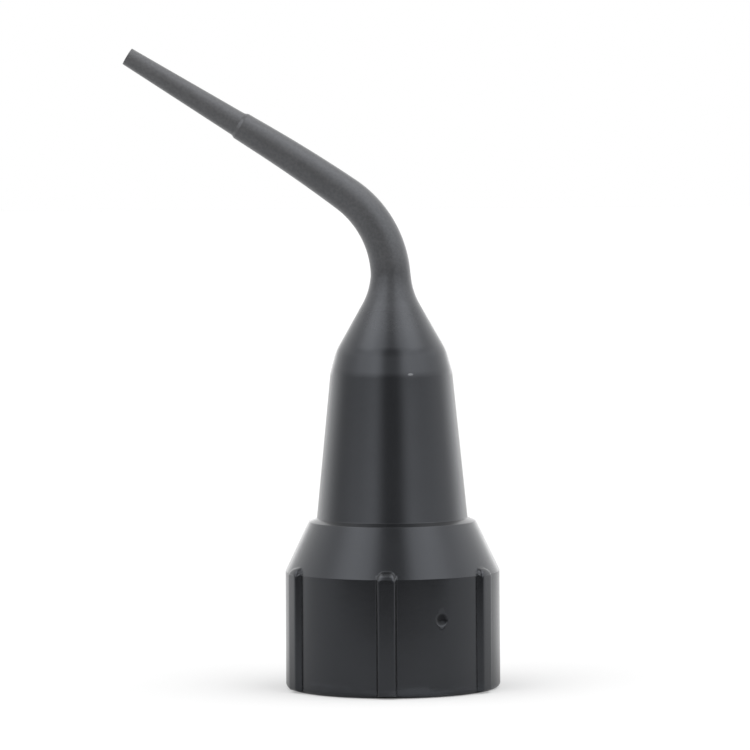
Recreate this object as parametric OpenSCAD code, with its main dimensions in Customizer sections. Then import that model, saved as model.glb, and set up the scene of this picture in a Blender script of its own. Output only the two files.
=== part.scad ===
// Bent dispensing tip for a screw-on syringe: one moulded piece with a ribbed collar that is threaded
// inside, a tapered body that seats on the syringe's nose, and a stepped tube bent over to one side.
// The open mouth of the collar stands on z = 0. The tube leans towards -X, in the XZ plane.

/* [Collar] */
// Diameter of the collar at its mouth, between the ribs
collar_d = 8.14; // [7.6:0.02:9]
// Diameter of the collar at the top of its straight wall
collar_top_d = 8.12; // [7.5:0.02:8.8]
// Height of the collar's straight wall
collar_h = 4.43; // [4.2:0.01:6]
// Radius of the round on the mouth's outer edge
mouth_round = 0.18; // [0.08:0.02:0.3]
// Height of the conical chamfer above the straight wall
chamfer_h = 1.88; // [1.4:0.01:2.6]
// Outer diameter of the ledge at the top of the chamfer
ledge_d = 6.38; // [6:0.02:7]
// Radius of the round on the ledge's outer edge
ledge_round = 0.07; // [0.03:0.01:0.12]
// Rise of the ledge from its outer edge to the body
ledge_rise = 0.12; // [0.02:0.01:0.2]

/* [Grip ribs] */
// Number of ribs round the collar
rib_count = 6; // [4:1:10]
// Width of a rib where it leaves the collar
rib_w = 0.78; // [0.7:0.02:1.2]
// Width of a rib across its crest
rib_crest_w = 0.58; // [0.4:0.02:0.66]
// Height of a rib above the collar
rib_h = 0.2; // [0.15:0.01:0.4]
// Radius of the rounds along a rib's crest
rib_corner = 0.12; // [0.05:0.01:0.16]
// Gap between the foot of a rib and the plane of the mouth
rib_foot = 0.08; // [0.04:0.01:0.3]
// Height that a rib's head runs past the straight wall, onto the chamfer
rib_head = 0.28; // [0.2:0.02:0.5]
// Radius of the round that brings a rib's crest over into its head
rib_head_round = 0.34; // [0.2:0.02:0.4]
// Turn of the first rib from the +X axis
rib_turn = 26.5; // [0:0.5:59]

/* [Gate mark] */
// Width of the shallow dimple round the moulding gate
gate_d = 0.5; // [0.3:0.02:0.7]
// Depth of the dimple
gate_depth = 0.08; // [0.03:0.01:0.12]
// Height of the dimple's centre above the mouth
gate_z = 2.9; // [1.5:0.05:3.4]

/* [Body] */
// Diameter of the body at the ledge
body_d = 5.72; // [5.4:0.02:5.9]
// Height of the body, from the ledge to the shoulder
body_h = 5.54; // [5:0.01:7]
// Diameter of the body at the shoulder's lower edge
shoulder_d = 4.61; // [4.45:0.01:4.8]
// Height of the shoulder
shoulder_h = 0.83; // [0.6:0.01:1.4]
// Diameter at the shoulder's upper edge
cone_d = 4.17; // [3.9:0.01:4.4]
// Half angle of the cone above the shoulder
cone_angle = 29.8; // [24:0.1:34]
// Radius of the hollow round between the cone and the tube
neck_round = 2.5; // [1.6:0.1:3]

/* [Tube] */
// Outer diameter of the tube at its root
tube_d = 1.52; // [1.4:0.02:1.7]
// Height of the foot of the bend above the corner where cone and tube would meet sharp
bend_rise = 0.35; // [0.2:0.01:1.5]
// Radius of the main bend, on the centre line
bend_r = 3.98; // [3:0.01:6]
// Angle of the main bend
bend_angle = 54.3; // [30:0.1:60]
// Radius of the slow bend that follows it
ease_r = 55; // [15:1:80]
// Angle of the slow bend
ease_angle = 3.9; // [2:0.1:10]
// Length of the straight arm from the bend to the step
arm_len = 1.03; // [0.8:0.01:4]
// Outer diameter of the tube just before the step
arm_d = 1.07; // [1:0.01:1.2]
// Outer diameter of the nose just past the step
nose_root_d = 0.95; // [0.84:0.01:0.98]
// Length of the slope that forms the step
step_len = 0.07; // [0.03:0.01:0.2]
// Length of the nose from the step to its end
nose_len = 4.94; // [3:0.01:8]
// Outer diameter of the nose at its end
nose_d = 0.69; // [0.6:0.01:0.8]

/* [Inside] */
// Diameter of the threaded cavity, at the root of its thread
thread_d = 6.4; // [6:0.05:6.6]
// Depth of the threaded cavity
thread_depth = 4; // [3:0.05:4.3]
// Lead-in chamfer at the mouth of the cavity
mouth_chamfer = 0.15; // [0.05:0.01:0.25]
// Diameter of the syringe nose's tapered seat, where it leaves the cavity
seat_d = 4.25; // [4.1:0.01:4.3]
// Taper of the seat: loss of diameter over its length
seat_taper = 0.06; // [0.04:0.005:0.08]
// Length of the seat
seat_len = 6.5; // [5:0.1:6.8]
// Width of the stop that the syringe nose meets at the seat's end
seat_stop = 0.2; // [0.1:0.01:0.3]
// Wall of the funnel above the seat
funnel_wall = 0.48; // [0.35:0.01:0.6]
// Diameter of the bore where it enters the tube
bore_d = 0.84; // [0.7:0.02:0.9]
// Diameter of the bore at the outlet
outlet_d = 0.41; // [0.3:0.01:0.46]

/* [Hidden] */

// Overlap that one solid has with the next, and excess that a cut has past a face
bite = 0.3;
// Radial set-back of the swept tube inside the turned neck, so that their faces don't coincide
seam = 0.004;
// Fineness: segments of a turned circle, of the tube, of its bore, of a bend, and of a small round
turn_sides = 96;
tube_sides = 40;
bore_sides = 24;
bend_steps = 20;
ease_steps = 4;
round_steps = 4;
neck_steps = 10;

// Heights, from the mouth up
chamfer_top_z = collar_h + chamfer_h;
body_z = chamfer_top_z + ledge_rise;
shoulder_z = body_z + body_h;
cone_z = shoulder_z + shoulder_h;
neck_z = cone_z + (cone_d - tube_d) / 2 / tan(cone_angle);
bend_z = neck_z + bend_rise;
// Height at which the hollow round of the neck runs out into the tube
neck_top_z = neck_z + neck_round * tan(cone_angle / 2);
seat_top_z = thread_depth + seat_len;

// Lengths along the tube's centre line, from the foot of the bend
bend_end = bend_r * bend_angle * PI / 180;
ease_end = bend_end + ease_r * ease_angle * PI / 180;
step_at = ease_end + arm_len;
nose_end = step_at + step_len + nose_len;

// Points of an arc, by centre, radius and the angles of its two ends
function arc(cx, cz, r, a0, a1, steps) =
    [for (i = [0:steps]) let (a = a0 + (a1 - a0) * i / steps) [cx + r * cos(a), cz + r * sin(a)]];

// Heading of the centre line at a length along it, from straight up
function heading(s) =
    s < 0 ? 0
    : s < bend_end ? s / bend_r * 180 / PI
    : s < ease_end ? bend_angle + (s - bend_end) / ease_r * 180 / PI
    : bend_angle + ease_angle;

// Place on a bend of radius r that starts at p with heading a0 and has reached heading a
function on_bend(p, r, a0, a) = p + r * [cos(a) - cos(a0), sin(a) - sin(a0)];

bend_top = on_bend([0, bend_z], bend_r, 0, bend_angle);
ease_top = on_bend(bend_top, ease_r, bend_angle, bend_angle + ease_angle);

// Place [x, z] of the centre line at a length along it
function route(s) =
    s < 0 ? [0, bend_z + s]
    : s < bend_end ? on_bend([0, bend_z], bend_r, 0, heading(s))
    : s < ease_end ? on_bend(bend_top, ease_r, bend_angle, heading(s))
    : ease_top + (s - ease_end) * [-sin(heading(s)), cos(heading(s))];

// Lengths along the route at which both bends have their rings
bend_rings = [
    for (i = [0:bend_steps]) bend_end * i / bend_steps,
    for (i = [1:ease_steps]) bend_end + (ease_end - bend_end) * i / ease_steps
];

// Solid of round section along the route; each station is [length along it, radius]
module sweep(stations, sides) {
    rings = len(stations);
    points = [
        for (st = stations)
            let (c = route(st[0]), a = heading(st[0]))
            for (k = [0:sides - 1])
                let (t = 360 * k / sides, out = st[1] * cos(t))
                [c[0] + out * cos(a), st[1] * sin(t), c[1] + out * sin(a)]
    ];
    bands = [
        for (j = [0:rings - 2], k = [0:sides - 1])
            let (n = (k + 1) % sides)
            [j * sides + k, (j + 1) * sides + k, (j + 1) * sides + n, j * sides + n]
    ];
    start = [for (k = [0:sides - 1]) k];
    finish = [for (k = [sides - 1:-1:0]) (rings - 1) * sides + k];
    polyhedron(points = points, faces = concat([start, finish], bands));
}

// Radius at a length along the route, for a taper from r0 at the foot of the bend to r1 at length s1
function taper(s, r0, r1, s1) = r0 + (r1 - r0) * s / s1;

// What the hollow round of the neck adds to the tube's radius at a height
function flare(z) =
    z < neck_top_z ? neck_round - sqrt(neck_round * neck_round - (neck_top_z - z) * (neck_top_z - z)) : 0;

// Outside of collar, body and neck, turned about the axis
module turned_outside() {
    collar_r = collar_d / 2;
    ledge_x = ledge_d / 2 - ledge_round;
    chamfer_tilt = atan((collar_top_d - ledge_d) / 2 / chamfer_h);
    neck_x = tube_d / 2 + neck_round;
    neck_stop = asin(max(0, neck_top_z - bend_z) / neck_round);
    stub = bend_z > neck_top_z ? [[tube_d / 2, bend_z]] : [];
    rotate_extrude($fn = turn_sides)
        polygon(concat(
            [[0, 0]],
            arc(collar_r - mouth_round, mouth_round, mouth_round, -90, 0, round_steps),
            [[collar_top_d / 2, collar_h]],
            arc(ledge_x, chamfer_top_z - ledge_round, ledge_round, chamfer_tilt, 90, round_steps),
            [[body_d / 2, body_z], [shoulder_d / 2, shoulder_z], [cone_d / 2, cone_z]],
            arc(neck_x, neck_top_z, neck_round, 180 + cone_angle, 180 + neck_stop, neck_steps),
            stub,
            [[0, bend_z]]
        ));
}

// Cross-section of one rib, pointing along +X
module rib_section() {
    crest_r = collar_d / 2 + rib_h;
    slope = atan((rib_w - rib_crest_w) / 2 / rib_h);
    corner_y = rib_crest_w / 2 + rib_corner * tan(slope) - rib_corner / cos(slope);
    root_r = collar_top_d / 2 - bite;
    root_y = rib_crest_w / 2 + (crest_r - root_r) * tan(slope);
    polygon(concat(
        [[root_r, -root_y]],
        arc(crest_r - rib_corner, -corner_y, rib_corner, slope - 90, 0, round_steps),
        arc(crest_r - rib_corner, corner_y, rib_corner, 0, 90 - slope, round_steps),
        [[root_r, root_y]]
    ));
}

// Ring that the ribs fill: it gives them their crest, their foot and their rounded head
module rib_envelope() {
    crest_r = collar_d / 2 + rib_h;
    foot_round = rib_h - rib_foot;
    head_z = collar_h + rib_head;
    rotate_extrude($fn = turn_sides)
        polygon(concat(
            [[collar_top_d / 2 - 2 * bite, rib_foot]],
            arc(crest_r - foot_round, rib_foot + foot_round, foot_round, -90, 0, round_steps),
            arc(crest_r - rib_head_round, head_z - rib_head_round, rib_head_round, 0, 90, round_steps),
            [[collar_top_d / 2 - 2 * bite, head_z]]
        ));
}

// All ribs, evenly round the collar
module ribs() {
    intersection() {
        rib_envelope();
        for (i = [0:rib_count - 1])
            rotate([0, 0, rib_turn + i * 360 / rib_count])
                linear_extrude(height = chamfer_top_z)
                    rib_section();
    }
}

// Shallow dimple midway between the two ribs that face the tube's side
module gate_mark() {
    ball_r = (gate_d * gate_d / 4 + gate_depth * gate_depth) / (2 * gate_depth);
    wall_r = collar_d / 2 + (collar_top_d - collar_d) / 2 * gate_z / collar_h;
    turn = rib_turn + 4.5 * 360 / rib_count;
    rotate([0, 0, turn])
        translate([wall_r - gate_depth + ball_r, 0, gate_z])
            sphere(r = ball_r, $fn = round_steps * 10);
}

// Outside of the bent tube, with its step and nose
module tube_outside() {
    root_r = tube_d / 2 - seam;
    sweep(concat(
        [[-bite, root_r]],
        [for (s = bend_rings) [s, taper(s, root_r, arm_d / 2, step_at) + flare(bend_z + s)]],
        [[step_at, arm_d / 2], [step_at + step_len, nose_root_d / 2], [nose_end, nose_d / 2]]
    ), tube_sides);
}

// Threaded cavity, tapered seat and funnel, turned about the axis
module turned_inside() {
    thread_r = thread_d / 2;
    seat_r = seat_d / 2;
    seat_top_r = seat_r - seat_taper * seat_len / 2;
    funnel_r = seat_top_r - seat_stop;
    slant_wall = funnel_wall / cos(cone_angle);
    bore_r = bore_d / 2;
    // Where the funnel, at its wall inside the cone, has come in to its first and its last radius
    funnel_z = cone_z + (cone_d / 2 - slant_wall - funnel_r) / tan(cone_angle);
    throat_z = cone_z + (cone_d / 2 - slant_wall - bore_r) / tan(cone_angle);
    rotate_extrude($fn = turn_sides)
        polygon([
            [0, -bite],
            [thread_r + mouth_chamfer, -bite],
            [thread_r + mouth_chamfer, 0],
            [thread_r, mouth_chamfer],
            [thread_r, thread_depth],
            [seat_r, thread_depth],
            [seat_top_r, seat_top_z],
            [funnel_r, seat_top_z],
            [funnel_r, funnel_z],
            [bore_r, throat_z],
            [bore_r, bend_z],
            [0, bend_z]
        ]);
}

// Bore of the bent tube, run out past the end of the nose
module tube_inside() {
    root_r = bore_d / 2 - seam;
    sweep(concat(
        [[-bite, root_r]],
        [for (s = concat(bend_rings, nose_end + bite)) [s, taper(s, root_r, outlet_d / 2, nose_end)]]
    ), bore_sides);
}

// The whole moulding
module dispensing_tip() {
    color([0.17, 0.175, 0.185])
        difference() {
            union() {
                turned_outside();
                ribs();
                tube_outside();
            }
            gate_mark();
            turned_inside();
            tube_inside();
        }
}

dispensing_tip();
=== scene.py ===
import math

import bpy
import numpy as np
from mathutils import Matrix, Vector


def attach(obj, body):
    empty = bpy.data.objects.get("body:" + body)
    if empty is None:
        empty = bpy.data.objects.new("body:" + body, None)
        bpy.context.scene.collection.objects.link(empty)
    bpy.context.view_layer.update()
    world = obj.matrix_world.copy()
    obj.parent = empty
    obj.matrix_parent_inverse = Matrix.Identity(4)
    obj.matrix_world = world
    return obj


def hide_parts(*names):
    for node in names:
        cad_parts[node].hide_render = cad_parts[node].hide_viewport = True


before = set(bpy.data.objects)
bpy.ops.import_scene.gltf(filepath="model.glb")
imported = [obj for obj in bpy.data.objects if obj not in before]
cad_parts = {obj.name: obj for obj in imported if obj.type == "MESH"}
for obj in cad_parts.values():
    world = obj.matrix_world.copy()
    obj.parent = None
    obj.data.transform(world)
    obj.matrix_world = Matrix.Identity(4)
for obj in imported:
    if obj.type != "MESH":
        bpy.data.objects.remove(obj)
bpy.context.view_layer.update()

MM = 0.001

# ---------------------------------------------------------------- sizes, in mm and degrees

# Collar, as in the CAD source
COLLAR_R = 4.07
COLLAR_TOP_R = 4.06
COLLAR_H = 4.43
MOUTH_ROUND = 0.18
CHAMFER_H = 1.88
LEDGE_R = 3.19
LEDGE_ROUND = 0.07
LEDGE_RISE = 0.12

# Grip ribs
RIB_COUNT = 6
RIB_W = 0.78
RIB_CREST_W = 0.58
RIB_H = 0.2
RIB_CORNER = 0.12
RIB_FOOT = 0.08
RIB_HEAD = 0.28
RIB_HEAD_ROUND = 0.34
HEAD_CORNER = 0.2
RIB_TURN = 26.5
RIB_FILLET = 0.03

# Dimple round the gate
GATE_D = 0.5
GATE_DEPTH = 0.08
GATE_Z = 2.9
GATE_SOFT = 0.02

# Body, shoulder and cone
BODY_R = 2.86
BODY_H = 5.54
SHOULDER_R = 2.305
SHOULDER_H = 0.83
CONE_R = 2.085
CONE_ANGLE = 29.8
NECK_ROUND = 2.5

# Bent tube
TUBE_R = 0.76
BEND_RISE = 0.35
BEND_R = 3.98
BEND_ANGLE = 54.3
EASE_R = 55
EASE_ANGLE = 3.9
ARM_LEN = 1.03
ARM_R = 0.535
NOSE_ROOT_R = 0.475
STEP_LEN = 0.07
NOSE_LEN = 4.94
NOSE_R = 0.345

# Inside
THREAD_R = 3.2
THREAD_DEPTH = 4.0
MOUTH_CHAMFER = 0.15
SEAT_R = 2.125
SEAT_TOP_R = 1.93
SEAT_LEN = 6.5
SEAT_STOP = 0.2
FUNNEL_WALL = 0.48
BORE_R = 0.42
OUTLET_R = 0.205

# Thread ridge, which the CAD leaves out
THREAD_PITCH = 1.2
THREAD_RISE = 0.28
THREAD_CREST = 0.16
THREAD_FLANK = 0.14
THREAD_START = 0.35
THREAD_STOP = 3.65
THREAD_FADE = 0.3

# Rounds that soften the edges: most of them, the finest, the ledge, the shoulder's two and a rib's head
EDGE = 0.05
FINE_EDGE = 0.02
LEDGE_SOFT = 0.035
SHOULDER_SOFT = 1.7
HEAD_SOFT = 0.05

# How far the round step of the tube reaches past each end of the plain one, and its rounds
STEP_SOFT = 0.025
STEP_ROUND = 0.09

# Heights that follow
CHAMFER_TOP = COLLAR_H + CHAMFER_H
BODY_Z = CHAMFER_TOP + LEDGE_RISE
SHOULDER_Z = BODY_Z + BODY_H
CONE_Z = SHOULDER_Z + SHOULDER_H
CONE_TAN = math.tan(math.radians(CONE_ANGLE))
NECK_Z = CONE_Z + (CONE_R - TUBE_R) / CONE_TAN
BEND_Z = NECK_Z + BEND_RISE
NECK_TOP = NECK_Z + NECK_ROUND * math.tan(math.radians(CONE_ANGLE / 2))
NECK_LOW = NECK_TOP - NECK_ROUND * math.sin(math.radians(CONE_ANGLE))
SEAT_TOP = THREAD_DEPTH + SEAT_LEN
HEAD_TOP = COLLAR_H + RIB_HEAD
HEAD_LOW = HEAD_TOP - RIB_HEAD_ROUND

# Rise of the round at a rib's foot
FOOT_ROUND = RIB_H - RIB_FOOT

# Lean of the chamfer, and the radius of the sharp corner under the ledge's round
CHAMFER_LEAN = math.atan((COLLAR_TOP_R - LEDGE_R) / CHAMFER_H)
LEDGE_EDGE = LEDGE_R - LEDGE_ROUND + LEDGE_ROUND * math.tan(math.pi / 4 - CHAMFER_LEAN / 2)

# Lengths along the centre line, from the foot of the bend
BEND_END = BEND_R * math.radians(BEND_ANGLE)
EASE_END = BEND_END + EASE_R * math.radians(EASE_ANGLE)
STEP_AT = EASE_END + ARM_LEN
NOSE_END = STEP_AT + STEP_LEN + NOSE_LEN

# Bearing of the gate's dimple, midway between two ribs, its middle on the wall, and the radius of the
# ball that makes it
GATE_BEARING = RIB_TURN + 4.5 * 360 / RIB_COUNT
GATE_TURN = math.radians(GATE_BEARING)
GATE_WALL = COLLAR_R + (COLLAR_TOP_R - COLLAR_R) * GATE_Z / COLLAR_H
GATE_PLACE = Vector((GATE_WALL * math.cos(GATE_TURN), GATE_WALL * math.sin(GATE_TURN), GATE_Z))
GATE_BALL = (GATE_D ** 2 / 4 + GATE_DEPTH ** 2) / (2 * GATE_DEPTH)

# Painted glint, a pale spot of colour on the front of the shoulder's lower edge, by its distance to the
# right of the axis
GLINT_X = 0.71
GLINT_PLACE = Vector((GLINT_X, -math.sqrt(SHOULDER_R ** 2 - GLINT_X ** 2), SHOULDER_Z))

# Height over which the plastic's colour ramp runs, the painted light that greys the tube towards its
# tip
RAMP_HEIGHT = 25

# Heights between which the plastic turns matte, and between which it takes on its bloom
MATTE_FROM = NECK_Z - 1.6
MATTE_TO = NECK_Z + 0.6
BLOOM_FROM = NECK_Z - 0.6
BLOOM_TO = NECK_Z + 1.8

# Heights between which the paler streaks above the base die out
STREAK_FROM = 0.25
STREAK_TO = 0.6

# Samples round a ring: on plain turned walls and the tube, and on the tube's bore
TURNED_SIDES = 144
BORE_SIDES = 48

# A radius beyond every wall, where nothing is cut
BEYOND = 99.0

# What the floor adds to its own light where it is part of the white background
FLOOR_LIFT = 0.295


# ---------------------------------------------------------------- small geometry helpers

def arc(cx, cz, r, a0, a1, steps):
    """Points of an arc, by centre, radius and the angles of its two ends."""
    turns = np.radians(np.linspace(a0, a1, steps + 1))
    return [(cx + r * math.cos(a), cz + r * math.sin(a)) for a in turns]


def rounded(corners, steps=4):
    """Polyline of (r, z) whose corners, given as (r, z, round), are arcs tangent to both sides."""
    out = [corners[0][:2]]
    for before, corner, after in zip(corners, corners[1:], corners[2:]):
        p = np.array(corner[:2])
        a = np.array(before[:2]) - p
        b = np.array(after[:2]) - p
        len_a = np.linalg.norm(a)
        len_b = np.linalg.norm(b)
        a = a / len_a
        b = b / len_b
        half = math.acos(max(-1.0, min(1.0, float(a @ b)))) / 2
        reach = min(corner[2] / math.tan(half), 0.45 * len_a, 0.45 * len_b)
        if reach < 1e-4:
            out.append(tuple(p))
            continue
        radius = reach * math.tan(half)
        middle = (a + b) / np.linalg.norm(a + b)
        centre = p + middle * radius / math.sin(half)
        first = p + a * reach - centre
        last = p + b * reach - centre
        sweep = math.atan2(first[0] * last[1] - first[1] * last[0], float(first @ last))
        start = math.atan2(first[1], first[0])
        for i in range(steps + 1):
            turn = start + sweep * i / steps
            out.append((centre[0] + radius * math.cos(turn), centre[1] + radius * math.sin(turn)))
    out.append(corners[-1][:2])
    return out


def soft_max(a, b, reach):
    """The larger of a and b, with a fillet where they are within reach of each other."""
    near = np.clip(1 - np.abs(a - b) / reach, 0, None)
    return np.maximum(a, b) + near * near * reach / 4


def soft_min(a, b, reach):
    """The smaller of a and b, with a round where they are within reach of each other."""
    return -soft_max(-a, -b, reach)


def even(sides):
    """Evenly spaced angles round a ring."""
    return np.arange(sides) * 2 * math.pi / sides


def collar_angles():
    """Angles round the collar, close together over each rib's flanks and over the gate."""
    half = np.concatenate([
        np.linspace(0, 2.8, 3),
        np.linspace(3.2, 6.4, 17),
        [6.9, 7.6, 8.6, 10, 12, 14.5, 17.5, 21, 25],
    ])
    offsets = np.concatenate([half, -half[1:], [30]])
    ribs = [RIB_TURN + i * 360 / RIB_COUNT + offsets for i in range(RIB_COUNT)]
    gate = GATE_BEARING + np.linspace(-4.2, 4.2, 25)
    turns = np.mod(np.concatenate(ribs + [gate]), 360)
    turns = np.unique(np.round(turns, 3))
    keep = np.concatenate([[True], np.diff(turns) > 0.08])
    return np.radians(turns[keep])


# ---------------------------------------------------------------- centre line of the tube

def heading(s):
    """Heading of the centre line at a length along it, in radians from straight up."""
    if s < 0:
        return 0.0
    if s < BEND_END:
        return s / BEND_R
    if s < EASE_END:
        return math.radians(BEND_ANGLE) + (s - BEND_END) / EASE_R
    return math.radians(BEND_ANGLE + EASE_ANGLE)


def on_bend(p, r, a0, a):
    """Place on a bend of radius r that starts at p with heading a0 and has reached heading a."""
    return (p[0] + r * (math.cos(a) - math.cos(a0)), p[1] + r * (math.sin(a) - math.sin(a0)))


BEND_FOOT = (0.0, BEND_Z)
BEND_TOP = on_bend(BEND_FOOT, BEND_R, 0.0, math.radians(BEND_ANGLE))
EASE_TOP = on_bend(BEND_TOP, EASE_R, math.radians(BEND_ANGLE), math.radians(BEND_ANGLE + EASE_ANGLE))


def route(s):
    """Place (x, z) of the centre line at a length along it."""
    a = heading(s)
    if s < 0:
        return (0.0, BEND_Z + s)
    if s < BEND_END:
        return on_bend(BEND_FOOT, BEND_R, 0.0, a)
    if s < EASE_END:
        return on_bend(BEND_TOP, EASE_R, math.radians(BEND_ANGLE), a)
    return (EASE_TOP[0] - (s - EASE_END) * math.sin(a), EASE_TOP[1] + (s - EASE_END) * math.cos(a))


def flare(z):
    """What the hollow round of the neck adds to the tube's radius at a height."""
    if z >= NECK_TOP:
        return 0.0
    return NECK_ROUND - math.sqrt(NECK_ROUND ** 2 - (NECK_TOP - z) ** 2)


# ---------------------------------------------------------------- rings

def turned_ring(angles, r, z):
    """Ring about the axis; r is one radius or one for each angle."""
    r = np.broadcast_to(r, angles.shape)
    pts = np.stack([r * np.cos(angles), r * np.sin(angles), np.full(angles.shape, z)], axis=1)
    return (angles, pts)


def tube_ring(angles, s, r):
    """Ring square to the tube's centre line."""
    cx, cz = route(s)
    a = heading(s)
    out = r * np.cos(angles)
    pts = np.stack([cx + out * math.cos(a), r * np.sin(angles), cz + out * math.sin(a)], axis=1)
    return (angles, pts)


def rib_outline():
    """Half of a rib's section as (angles from its middle, radii)."""
    crest = COLLAR_R + RIB_H
    slope = math.atan((RIB_W - RIB_CREST_W) / 2 / RIB_H)
    corner_y = RIB_CREST_W / 2 + RIB_CORNER * math.tan(slope) - RIB_CORNER / math.cos(slope)
    foot_y = RIB_CREST_W / 2 + RIB_H * math.tan(slope)
    pts = [(crest, 0.0)]
    pts += [
        (crest - RIB_CORNER + RIB_CORNER * math.cos(a), corner_y + RIB_CORNER * math.sin(a))
        for a in np.linspace(0, math.pi / 2 - slope, 9)
    ]
    pts.append((COLLAR_R, foot_y))
    pts.append((COLLAR_R - 0.3, foot_y + 0.01))
    return (
        np.array([math.atan2(y, x) for x, y in pts]),
        np.array([math.hypot(x, y) for x, y in pts]),
    )


RIB_ANGLES, RIB_RADII = rib_outline()


def rib_reach(z, side):
    """Radius that the ribs' foot and head allow at a height and distances from a rib's middle."""
    crest = COLLAR_R + RIB_H
    over = np.clip(np.abs(side) - (RIB_CREST_W / 2 + 0.03 - HEAD_CORNER), 0, 0.98 * HEAD_CORNER)
    head_z = HEAD_TOP - HEAD_CORNER + np.sqrt(HEAD_CORNER ** 2 - over ** 2)
    low = np.clip(RIB_FOOT + FOOT_ROUND - z, 0, FOOT_ROUND)
    high = np.clip(z - (head_z - RIB_HEAD_ROUND), 0, RIB_HEAD_ROUND)
    reach = crest - FOOT_ROUND + np.sqrt(FOOT_ROUND ** 2 - low ** 2)
    reach = reach - RIB_HEAD_ROUND + np.sqrt(RIB_HEAD_ROUND ** 2 - high ** 2)
    return np.where((z < RIB_FOOT) | (z > head_z), 0.0, reach)


def collar_ring(angles, r, z):
    """Ring round the collar, with the ribs added and the gate's dimple taken away."""
    pitch = 2 * math.pi / RIB_COUNT
    off = np.abs(np.mod(angles - math.radians(RIB_TURN) + pitch / 2, pitch) - pitch / 2)
    reach = rib_reach(z, COLLAR_R * np.sin(off))
    section = np.interp(off, RIB_ANGLES, RIB_RADII, right=0.0)
    rib = soft_min(section, reach, HEAD_SOFT)
    radii = soft_max(np.full(angles.shape, r), rib, RIB_FILLET)
    centre = GATE_WALL - GATE_DEPTH + GATE_BALL
    side = centre * np.sin(angles - GATE_TURN)
    room = GATE_BALL ** 2 - (z - GATE_Z) ** 2 - side ** 2
    inside = (room > 0) & (np.cos(angles - GATE_TURN) > 0)
    near = centre * np.cos(angles - GATE_TURN) - np.sqrt(np.clip(room, 0, None))
    dimple = np.where(inside, near, BEYOND)
    return turned_ring(angles, soft_min(radii, dimple, GATE_SOFT), z)


def thread_ring(angles, z):
    """Ring round the threaded cavity, with the helical ridge standing in from its wall."""
    turn = z / THREAD_PITCH - angles / (2 * math.pi)
    away = np.abs(np.mod(turn, 1.0) - 0.5) * THREAD_PITCH
    ridge = np.clip((THREAD_CREST / 2 + THREAD_FLANK - away) / THREAD_FLANK, 0, 1)
    ridge = ridge * ridge * (3 - 2 * ridge)
    along = z - (turn - np.floor(turn) - 0.5) * THREAD_PITCH
    fade = np.clip((along - THREAD_START) / THREAD_FADE, 0, 1)
    fade = fade * np.clip((THREAD_STOP - along) / THREAD_FADE, 0, 1)
    return turned_ring(angles, THREAD_R - THREAD_RISE * ridge * fade, z)


# ---------------------------------------------------------------- the whole moulding

def collar_rows(wall_z):
    """Heights of the collar's rings, close together at its edges, the ribs' ends and the gate."""
    rows = list(wall_z[wall_z < CHAMFER_TOP - LEDGE_ROUND])
    rows += [RIB_FOOT - 0.003, RIB_FOOT + 0.001]
    rows += [p[1] for p in arc(0, RIB_FOOT + FOOT_ROUND, FOOT_ROUND, -80, 0, 6)]
    rows += list(np.linspace(0.45, GATE_Z - 0.4, 6))
    rows += list(GATE_Z + np.linspace(-0.26, 0.26, 19))
    rows += list(np.linspace(GATE_Z + 0.45, HEAD_LOW - 0.12, 4))
    rows += [p[1] for p in arc(0, HEAD_LOW, RIB_HEAD_ROUND, 0, 84, 10)]
    rows += [HEAD_TOP - 0.001, HEAD_TOP + 0.003, HEAD_TOP + 0.05]
    rows += list(np.linspace(HEAD_TOP + 0.3, CHAMFER_TOP - 0.3, 3))
    rows = np.unique(np.round(rows, 4))
    return rows[np.concatenate([[True], np.diff(rows) > 0.0015])]


def collar_rings(around):
    """Rings of the mouth's rim, then of the straight wall and the chamfer with their ribs."""
    rim_in = THREAD_R + MOUTH_CHAMFER + EDGE
    wall = rounded([
        (rim_in, 0, 0),
        (COLLAR_R, 0, MOUTH_ROUND),
        (COLLAR_TOP_R, COLLAR_H, EDGE),
        (LEDGE_EDGE, CHAMFER_TOP, LEDGE_SOFT),
        (BODY_R, BODY_Z, 0),
    ], 6)
    wall_z = np.array([p[1] for p in wall[1:]])
    wall_r = np.array([p[0] for p in wall[1:]])
    rings = [
        turned_ring(around, rim_in, 0.0),
        turned_ring(around, (rim_in - EDGE + COLLAR_R) / 2, 0.0),
    ]
    for z in collar_rows(wall_z):
        rings.append(collar_ring(around, float(np.interp(z, wall_z, wall_r)), z))
    return rings


def body_rings(around, turned):
    """Rings of the ledge, body, shoulder and cone, and of the hollow neck up to the bend's foot."""
    rings = []
    body = rounded([
        (LEDGE_EDGE + 0.2 * math.tan(CHAMFER_LEAN), CHAMFER_TOP - 0.2, 0),
        (LEDGE_EDGE, CHAMFER_TOP, LEDGE_SOFT),
        (BODY_R, BODY_Z, FINE_EDGE),
        (SHOULDER_R, SHOULDER_Z, SHOULDER_SOFT),
        (CONE_R, CONE_Z, SHOULDER_SOFT),
        (TUBE_R + flare(NECK_LOW), NECK_LOW, 0),
    ], 6)
    for r, z in body:
        on_ledge = z < CHAMFER_TOP + 0.001
        rings.append(turned_ring(around if on_ledge else turned, r, z))
    for z in np.linspace(NECK_LOW, BEND_Z, 11)[1:]:
        rings.append(turned_ring(turned, TUBE_R + flare(z), z))
    return rings


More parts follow.
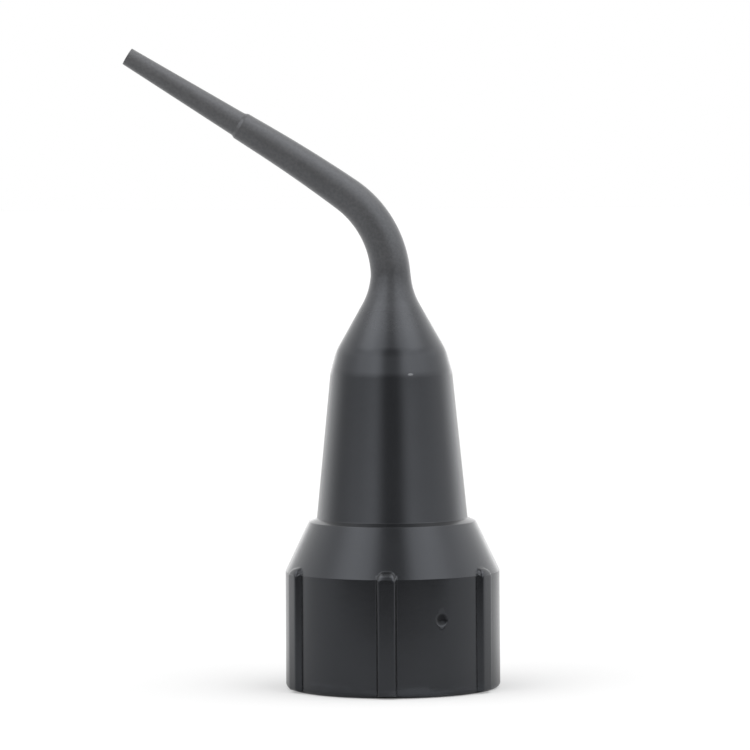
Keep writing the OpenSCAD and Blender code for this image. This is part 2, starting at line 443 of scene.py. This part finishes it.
def tube_rings(turned):
    """Rings of the bent tube, its step and its nose, to the outlet's edge."""
    rings = []
    stops = list(np.linspace(0, NECK_TOP - BEND_Z, 13)[1:])
    stops += list(np.linspace(NECK_TOP - BEND_Z, BEND_END, 41)[1:])
    stops += list(np.linspace(BEND_END, EASE_END, 9)[1:])
    stops += list(np.linspace(EASE_END, STEP_AT - 0.2, 4)[1:])
    arm_slope = (TUBE_R - ARM_R) / STEP_AT
    for s in stops:
        rings.append(tube_ring(turned, s, TUBE_R - arm_slope * s + flare(BEND_Z + s)))
    nose_slope = (NOSE_ROOT_R - NOSE_R) / NOSE_LEN
    nose = rounded([
        (ARM_R + 0.15 * arm_slope, STEP_AT - 0.15, 0),
        (ARM_R + STEP_SOFT * arm_slope, STEP_AT - STEP_SOFT, STEP_ROUND),
        (NOSE_ROOT_R - STEP_SOFT * nose_slope, STEP_AT + STEP_LEN + STEP_SOFT, STEP_ROUND),
        (NOSE_R, NOSE_END, 0.03),
        (OUTLET_R, NOSE_END, 0.02),
        (OUTLET_R + 0.003, NOSE_END - 0.2, 0),
    ], 5)
    for r, s in nose:
        rings.append(tube_ring(turned, s, r))
    return rings


def outside_rings():
    """Rings from the mouth's inner edge, over the outside, to the end of the nose."""
    around = collar_angles()
    turned = even(TURNED_SIDES)
    return collar_rings(around) + body_rings(around, turned) + tube_rings(turned)


def inside_rings():
    """Rings from the outlet, down the bore, seat and threaded cavity, to the mouth's edge."""
    rings = []
    bore = even(BORE_SIDES)
    stops = list(np.linspace(NOSE_END - 0.4, EASE_END, 4))
    stops += list(np.linspace(EASE_END, BEND_END, 5)[1:])
    stops += list(np.linspace(BEND_END, 0, 21)[1:])
    for s in stops:
        r = BORE_R + (OUTLET_R - BORE_R) * s / NOSE_END
        rings.append(tube_ring(bore, s, r))

    slant = FUNNEL_WALL / math.cos(math.radians(CONE_ANGLE))
    funnel_r = SEAT_TOP_R - SEAT_STOP
    funnel_z = CONE_Z + (CONE_R - slant - funnel_r) / CONE_TAN
    throat_z = CONE_Z + (CONE_R - slant - BORE_R) / CONE_TAN
    turned = even(TURNED_SIDES)
    throat = rounded([
        (BORE_R, BEND_Z - 0.1, 0),
        (BORE_R, throat_z, 0.3),
        (funnel_r, funnel_z, 0.08),
        (funnel_r, SEAT_TOP, EDGE),
        (SEAT_TOP_R, SEAT_TOP, FINE_EDGE),
        (SEAT_R, THREAD_DEPTH, EDGE),
        (THREAD_R, THREAD_DEPTH, EDGE),
        (THREAD_R, THREAD_DEPTH - 0.1, 0),
    ], 4)
    for r, z in throat:
        rings.append(turned_ring(turned, r, z))
    for z in np.linspace(THREAD_DEPTH - 0.16, MOUTH_CHAMFER + 0.04, 64):
        rings.append(thread_ring(turned, z))
    mouth = rounded([
        (THREAD_R, MOUTH_CHAMFER + 0.02, 0),
        (THREAD_R, MOUTH_CHAMFER, FINE_EDGE),
        (THREAD_R + MOUTH_CHAMFER, 0, FINE_EDGE),
        (THREAD_R + MOUTH_CHAMFER + EDGE, 0, 0),
    ], 3)
    for r, z in mouth[:-1]:
        rings.append(turned_ring(turned, r, z))
    return rings


def bridge(start_a, angles_a, start_b, angles_b):
    """Faces between two rings: quads where they match, otherwise triangles in angle order."""
    na = len(angles_a)
    nb = len(angles_b)
    if na == nb and np.allclose(angles_a, angles_b):
        return [
            (start_a + k, start_a + (k + 1) % na, start_b + (k + 1) % na, start_b + k)
            for k in range(na)
        ]
    faces = []
    i = 0
    j = 0
    wrap_a = np.append(angles_a, angles_a[0] + 2 * math.pi)
    wrap_b = np.append(angles_b, angles_b[0] + 2 * math.pi)
    while i < na or j < nb:
        step_a = j >= nb or (i < na and wrap_a[i + 1] <= wrap_b[j + 1])
        here = (start_a + i % na, start_b + j % nb)
        if step_a:
            faces.append((here[0], start_a + (i + 1) % na, here[1]))
            i += 1
        else:
            faces.append((here[0], start_b + (j + 1) % nb, here[1]))
            j += 1
    return faces


def loft(name, rings):
    """Closed mesh through rings whose last joins the first."""
    starts = np.cumsum([0] + [len(r[0]) for r in rings])
    points = np.concatenate([r[1] for r in rings]) * MM
    faces = []
    for n in range(len(rings)):
        m = (n + 1) % len(rings)
        faces += bridge(int(starts[n]), rings[n][0], int(starts[m]), rings[m][0])
    mesh = bpy.data.meshes.new(name)
    mesh.from_pydata([tuple(p) for p in points], [], faces)
    mesh.validate()
    for polygon in mesh.polygons:
        polygon.use_smooth = True
    obj = bpy.data.objects.new(name, mesh)
    bpy.context.scene.collection.objects.link(obj)
    return obj


# ---------------------------------------------------------------- materials

class Nodes:
    """Adds nodes to a tree and links them, with constants set on the sockets."""

    def __init__(self, tree):
        self.tree = tree
        tree.nodes.clear()

    def add(self, kind, links=None, **settings):
        node = self.tree.nodes.new(kind)
        for key, value in settings.items():
            setattr(node, key, value)
        for key, value in (links or {}).items():
            socket = node.inputs[key]
            if isinstance(value, bpy.types.NodeSocket):
                self.tree.links.new(value, socket)
            else:
                socket.default_value = value
        return node

    def maths(self, operation, a, b=0.0):
        """Result of a sum on one or two values."""
        return self.add("ShaderNodeMath", {0: a, 1: b}, operation=operation).outputs["Value"]

    def vectors(self, operation, a, b):
        """Result of a sum on two vectors."""
        return self.add("ShaderNodeVectorMath", {0: a, 1: b}, operation=operation).outputs["Vector"]

    def noise(self, place, scale, detail, roughness):
        """Noise by place, from 0 to 1."""
        return self.add("ShaderNodeTexNoise", {
            "Vector": place, "Scale": scale, "Detail": detail, "Roughness": roughness,
        }).outputs["Fac"]

    def spread(self, value, source, target, smooth=True):
        """Carries a value from one (low, high) range to another, and holds it at the ends."""
        return self.add("ShaderNodeMapRange", {
            "Value": value, "From Min": source[0], "From Max": source[1],
            "To Min": target[0], "To Max": target[1],
        }, interpolation_type="SMOOTHSTEP" if smooth else "LINEAR").outputs["Result"]

    def mix(self, share, a, b, blend="MIX"):
        """Colour a with a share of colour b over it."""
        return self.add("ShaderNodeMix", {
            0: share, 6: a, 7: b,
        }, data_type="RGBA", blend_type=blend).outputs[2]

    def ramp(self, source, stops):
        """Smooth ramp of (place, grey or colour) stops over a value."""
        node = self.add("ShaderNodeValToRGB", {"Fac": source})
        ramp = node.color_ramp
        ramp.interpolation = "EASE"
        while len(ramp.elements) < len(stops):
            ramp.elements.new(0.5)
        for element, (place, colour) in zip(ramp.elements, stops):
            element.position = place
            grey = isinstance(colour, (int, float))
            element.color = (colour, colour, colour, 1) if grey else (*colour, 1)
        return node.outputs["Color"]


def black_plastic():
    """Black moulded plastic, glossy on the body and more matte out along the tube, whose colour greys
    towards the tip as painted light.
    """
    material = bpy.data.materials.new("black_plastic")
    material.use_nodes = True
    n = Nodes(material.node_tree)
    place = n.add("ShaderNodeTexCoord").outputs["Object"]
    height = n.add("ShaderNodeSeparateXYZ", {"Vector": place}).outputs["Z"]
    grain = n.noise(place, 9000.0, 3.0, 0.6)
    smudge = n.noise(place, 420.0, 4.0, 0.55)
    ripple = n.noise(place, 800.0, 1.0, 0.4)

    # Colour by height, over a ramp 25 mm long: painted light that greys the plastic from the cone out
    # to the tip, with smudges and a fine mottle
    painted_tube_light = n.ramp(n.maths("DIVIDE", height, RAMP_HEIGHT * MM), [
        (CONE_Z / RAMP_HEIGHT, (0.0055, 0.0057, 0.0064)),
        (14 / RAMP_HEIGHT, (0.025, 0.0253, 0.0264)),
        (NECK_Z / RAMP_HEIGHT, (0.048, 0.0482, 0.0502)),
        (16.5 / RAMP_HEIGHT, (0.0755, 0.0755, 0.0775)),
        (24.25 / RAMP_HEIGHT, (0.0965, 0.096, 0.0965)),
    ])
    worn = n.ramp(smudge, [(0.3, 0.82), (0.75, 1.0)])
    mottle = n.ramp(grain, [(0.33, 0.8), (0.67, 1.06)])
    colour = n.mix(1.0, painted_tube_light, worn, "MULTIPLY")
    colour = n.mix(1.0, colour, mottle, "MULTIPLY")

    # Painted glint: a pale spot, wider than it is high, that stands in for a highlight on the
    # shoulder's edge
    away = n.vectors("SUBTRACT", place, GLINT_PLACE * MM)
    away = n.vectors("MULTIPLY", away, (1.0, 1.0, 2.2))
    away = n.add("ShaderNodeVectorMath", {0: away}, operation="LENGTH").outputs["Value"]
    painted_glint = n.spread(away, (0.07 * MM, 0.13 * MM), (1.0, 0.0))
    colour = n.mix(painted_glint, colour, (0.16, 0.165, 0.17, 1))

    # Faint paler streaks just above the base
    flat = n.vectors("MULTIPLY", place, (1.0, 1.0, 4.0))
    pale_streak = n.ramp(n.noise(flat, 700.0, 3.0, 0.6), [(0.44, 0.0), (0.66, 1.0)])
    low = n.spread(height, (STREAK_FROM * MM, STREAK_TO * MM), (0.9, 0.0))
    colour = n.mix(n.maths("MULTIPLY", pale_streak, low), colour, (0.022, 0.024, 0.027, 1))

    # Gloss that gives way to a matte surface and a bloom round the neck, and less gloss at the gate
    rough = n.spread(smudge, (0.25, 0.75), (0.17, 0.25), smooth=False)
    matte = n.spread(height, (MATTE_FROM * MM, MATTE_TO * MM), (0.0, 0.18))
    rough = n.maths("ADD", rough, matte)
    bloom = n.spread(height, (BLOOM_FROM * MM, BLOOM_TO * MM), (0.05, 0.3))
    from_gate = n.add("ShaderNodeVectorMath", {
        0: place, 1: GATE_PLACE * MM,
    }, operation="DISTANCE").outputs["Value"]
    pit = n.spread(from_gate, (0.16 * MM, 0.27 * MM), (0.15, 0.5))

    fine = n.add("ShaderNodeBump", {
        "Height": grain, "Strength": 0.25, "Distance": 0.000004,
    }).outputs["Normal"]
    normal = n.add("ShaderNodeBump", {
        "Height": ripple, "Strength": 0.3, "Distance": 0.00001, "Normal": fine,
    }).outputs["Normal"]
    shader = n.add("ShaderNodeBsdfPrincipled", {
        "Base Color": colour, "Roughness": rough, "Normal": normal,
        "IOR": 1.62, "Specular IOR Level": pit, "Specular Tint": (0.88, 0.92, 1.0, 1.0),
        "Sheen Weight": bloom, "Sheen Roughness": 0.35,
    })
    n.add("ShaderNodeOutputMaterial", {"Surface": shader.outputs["BSDF"]})
    return material


def floor_material():
    """Pale floor that is white to the camera where it is clear, and keeps the object's shadow."""
    material = bpy.data.materials.new("floor_white")
    material.use_nodes = True
    n = Nodes(material.node_tree)
    place = n.add("ShaderNodeTexCoord").outputs["Object"]
    mottle = n.add("ShaderNodeTexNoise", {
        "Vector": place, "Scale": 40.0, "Detail": 2.0,
    }).outputs["Fac"]
    colour = n.ramp(mottle, [(0.3, 0.55), (0.7, 0.57)])
    diffuse = n.add("ShaderNodeBsdfDiffuse", {"Color": colour})
    path = n.add("ShaderNodeLightPath").outputs
    depth = n.add("ShaderNodeSeparateXYZ", {"Vector": place}).outputs["Y"]
    mirrored = n.maths("MULTIPLY", path["Is Glossy Ray"], n.spread(depth, (0.0, 0.02), (0.0, 1.0)))
    seen = n.maths("MAXIMUM", path["Is Camera Ray"], path["Is Transmission Ray"])
    seen = n.maths("MAXIMUM", seen, mirrored)
    lift = n.maths("MULTIPLY", seen, FLOOR_LIFT)
    glow = n.add("ShaderNodeEmission", {"Color": (1, 1, 1, 1), "Strength": lift})
    both = n.add("ShaderNodeAddShader", {
        0: diffuse.outputs["BSDF"], 1: glow.outputs["Emission"],
    })
    n.add("ShaderNodeOutputMaterial", {"Surface": both.outputs["Shader"]})
    return material


# ---------------------------------------------------------------- build

tip = loft("tip_moulding", outside_rings() + inside_rings())
tip.data.materials.append(black_plastic())
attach(tip, "root")
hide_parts("dispensing_tip")


# ---------------------------------------------------------------- floor, light and camera

# Floor: half its width and its depth, where its front edge lies, and its height, just under the mouth
FLOOR_HALF = 1.5
FLOOR_FRONT = -0.03
FLOOR_Z = -0.01 * MM
floor_mesh = bpy.data.meshes.new("floor")
floor_mesh.from_pydata(
    [(-FLOOR_HALF, FLOOR_FRONT, FLOOR_Z), (FLOOR_HALF, FLOOR_FRONT, FLOOR_Z),
     (FLOOR_HALF, FLOOR_HALF, FLOOR_Z), (-FLOOR_HALF, FLOOR_HALF, FLOOR_Z)],
    [], [(0, 1, 2, 3)],
)
floor = bpy.data.objects.new("floor", floor_mesh)
bpy.context.scene.collection.objects.link(floor)
floor.data.materials.append(floor_material())

# Camera: the point it looks at, its distance, its rise and roll, and its angle of view, from half the
# picture over the length of its lens
TARGET = Vector((-0.62, 0.0, 11.85)) * MM
CAMERA_DISTANCE = 170.5 * MM
CAMERA_RISE = math.radians(2.79)
CAMERA_ROLL = math.radians(-0.36)
VIEW_ANGLE = 2 * math.atan(375 / 4500)


def aim(obj, target, roll=0.0):
    """Turns obj so that its -Z axis points at target."""
    away = (target - obj.location).to_track_quat("-Z", "Y")
    obj.rotation_mode = "QUATERNION"
    obj.rotation_quaternion = away @ Matrix.Rotation(roll, 3, "Z").to_quaternion()


camera_data = bpy.data.cameras.new("camera")
camera_data.sensor_width = 36
camera_data.angle = VIEW_ANGLE
camera_data.clip_start = 0.01
camera_data.clip_end = 20
camera = bpy.data.objects.new("camera", camera_data)
bpy.context.scene.collection.objects.link(camera)
camera.location = TARGET + CAMERA_DISTANCE * Vector((0, -math.cos(CAMERA_RISE), math.sin(CAMERA_RISE)))
aim(camera, TARGET, CAMERA_ROLL)
bpy.context.scene.camera = camera


# The studio's radiance by bearing, in degrees from the camera's side with + to its right, in bands
# of rising elevation: two tall softboxes that grow brighter upwards, with a dark gap between them
BANDS = [
    (-20, [(-180, 0.9), (-90, 0.8), (90, 0.8), (180, 0.9)]),
    (-6, [(-180, 1.6), (-130, 1.3), (-90, 0.6), (-50, 0.15),
          (50, 0.15), (90, 0.7), (130, 1.5), (180, 1.6)]),
    (1, [(-180, 2.2), (-130, 1.7), (-92, 0.7), (-50, 0.2),
         (50, 0.2), (92, 1.0), (130, 2.0), (180, 2.2)]),
    (11, [(-180, 1.6), (-130, 1.4), (-95, 0.9), (-60, 1.4), (-32, 1.65), (-8, 0.35),
          (8, 0.35), (32, 1.65), (60, 1.5), (95, 1.4), (130, 1.6), (180, 1.6)]),
    (25, [(-180, 1.4), (-125, 1.4), (-90, 1.4), (-60, 2.1), (-32, 2.5), (-8, 0.85),
          (8, 0.85), (32, 2.5), (60, 2.3), (90, 1.8), (125, 1.6), (180, 1.4)]),
    (36, [(-180, 1.1), (-125, 1.2), (-88, 1.2), (-62, 1.9), (-35, 2.2), (-10, 0.5),
          (10, 0.5), (35, 2.2), (62, 1.9), (88, 1.4), (125, 1.3), (180, 1.1)]),
    (48, [(-180, 0.7), (-120, 1.4), (-82, 2.7), (-60, 2.7), (-35, 1.9), (-10, 0.4),
          (10, 0.4), (35, 1.9), (60, 2.7), (82, 2.7), (120, 1.6), (180, 0.7)]),
    (60, [(-180, 0.7), (-120, 1.8), (-85, 2.9), (-60, 3.2), (-30, 2.2), (0, 0.9),
          (30, 2.2), (60, 3.2), (85, 3.1), (120, 2.0), (180, 0.7)]),
    (80, [(-180, 0.7), (0, 0.8), (90, 0.9), (180, 0.7)]),
]

# What all bands are scaled by, and the radiance that white stands for in their ramps
STUDIO_LEVEL = 0.9
BRIGHTEST = 4.0

world = bpy.data.worlds.new("studio")
world.use_nodes = True
bpy.context.scene.world = world
w = Nodes(world.node_tree)
toward = w.add("ShaderNodeSeparateXYZ", {
    "Vector": w.add("ShaderNodeTexCoord").outputs["Generated"],
}).outputs
front = w.maths("MULTIPLY", toward["Y"], -1.0)
bearing = w.maths("ARCTAN2", toward["X"], front)
bearing = w.spread(bearing, (-math.pi, math.pi), (0.0, 1.0), smooth=False)
rise = w.maths("ARCSINE", toward["Z"])
shade = None
for (elevation, stops), below in zip(BANDS, [None] + BANDS[:-1]):
    band = w.ramp(bearing, [
        ((degrees + 180) / 360, STUDIO_LEVEL * level / BRIGHTEST) for degrees, level in stops
    ])
    if below is None:
        shade = band
        continue
    span = (math.radians(below[0]), math.radians(elevation))
    shade = w.mix(w.spread(rise, span, (0.0, 1.0)), shade, band)

# The white backdrop: all that the camera sees, and what the object mirrors from behind it
path = w.add("ShaderNodeLightPath").outputs
white = (1 / BRIGHTEST, 1 / BRIGHTEST, 1 / BRIGHTEST, 1)
behind = w.spread(toward["Y"], (0.1, 0.5), (0.0, 1.0))
mirrored = w.maths("MULTIPLY", path["Is Glossy Ray"], behind)
shade = w.mix(mirrored, shade, white, "LIGHTEN")
clear = w.maths("MAXIMUM", path["Is Camera Ray"], path["Is Transmission Ray"])
shade = w.mix(clear, shade, white)
w.add("ShaderNodeOutputWorld", {
    "Surface": w.add("ShaderNodeBackground", {
        "Color": shade, "Strength": BRIGHTEST,
    }).outputs["Background"],
})

bpy.context.scene.view_settings.view_transform = "Standard"
